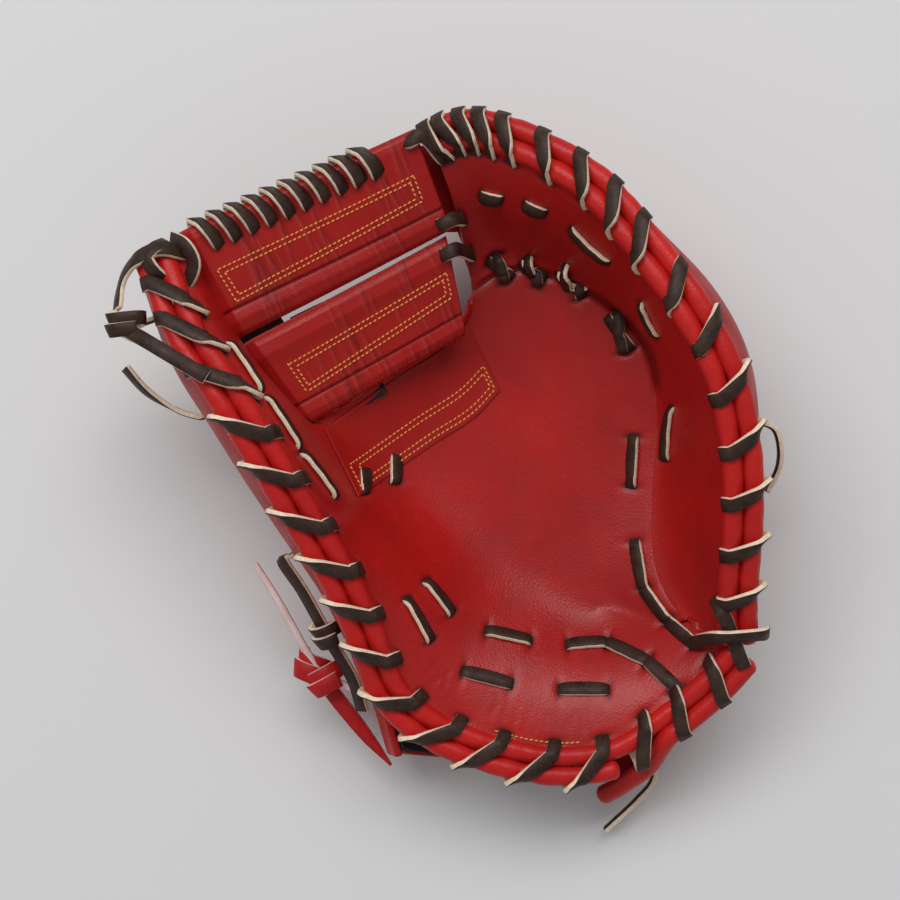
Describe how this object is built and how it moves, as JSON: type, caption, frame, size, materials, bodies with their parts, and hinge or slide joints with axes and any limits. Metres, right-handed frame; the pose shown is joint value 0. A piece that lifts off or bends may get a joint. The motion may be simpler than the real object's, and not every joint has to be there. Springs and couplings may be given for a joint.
{
  "type": "first base mitt",
  "caption": "Red leather first base mitt lying open on its back, with laced rolled rim, barred web, padded palm and wrist strap; its finger half folds to close the pocket.",
  "frame": {"origin": "on the resting surface, below the middle of the mitt", "axes": "+X towards the finger side, +Y from the wrist to the finger tips, +Z out of the pocket"},
  "size_m": [0.2839, 0.3188, 0.1152],
  "materials": {
    "red_leather": "semi-gloss tanned leather",
    "brown_lace": "satin rawhide lace",
    "red_lace": "satin rawhide lace",
    "felt": "matt felt",
    "black_lining": "matt soft glove leather"
  },
  "bodies": {
    "thumb_side": {"palm_leather": "red_leather", "thumb_back_leather": "red_leather", "heel_back_leather": "red_leather", "thumb_palm_roll": "red_leather", "thumb_back_roll": "red_leather", "wrist_corner_roll": "red_leather", "thumb_edge_lace": "brown_lace", "heel_edge_lace": "brown_lace", "wrist_corner_lace": "brown_lace", "heel_pad_lace": "brown_lace", "heel_low_lace": "brown_lace", "thumb_pad_lace": "brown_lace", "heel_hinge_lace": "brown_lace", "hinge_lace": "brown_lace", "pocket_lace": "brown_lace", "web_base_lace": "brown_lace", "seam_lace": "brown_lace", "notch_lace_low": "brown_lace", "notch_lace_high": "brown_lace", "thumb_pad": "felt", "heel_pad": "felt", "palm_lining": "black_lining", "web_top_bar": "red_leather", "web_middle_bar": "red_leather", "web_base_panel": "red_leather", "web_top_lace": "brown_lace", "web_thumb_lace": "brown_lace", "thumb_dash_lace": "brown_lace", "web_link_top": "brown_lace", "web_link_upper": "brown_lace", "web_link_lower": "brown_lace", "thumb_tip_lace": "brown_lace", "wrist_strap": "red_leather", "strap_lining": "black_lining", "thumb_tail": "brown_lace", "thumb_back_tail": "brown_lace", "wrist_lace": "brown_lace", "wrist_knot": "brown_lace", "heel_tail": "brown_lace", "red_tail_up": "red_lace", "red_tail_down": "red_lace", "red_knot": "red_lace"},
    "finger_side": {"finger_panel": "red_leather", "finger_back_leather": "red_leather", "finger_palm_roll": "red_leather", "finger_back_roll": "red_leather", "finger_edge_lace": "brown_lace", "finger_tip_lace": "brown_lace", "finger_pad_lace": "brown_lace", "finger_pad": "felt", "finger_lining": "black_lining", "finger_tail": "brown_lace"}
  },
  "joints": [
    {"name": "pocket_fold", "type": "hinge", "parent": "thumb_side", "child": "finger_side", "pos_m": [0.0071, 0.0746, 0.0445], "axis": [0.527, -0.8395, 0.1324], "range_deg": [0, 30], "deforming": ["seam_lace", "notch_lace_low", "notch_lace_high", "web_top_bar", "web_middle_bar", "web_top_lace", "web_link_top", "web_link_upper", "web_link_lower"]}
  ]
}
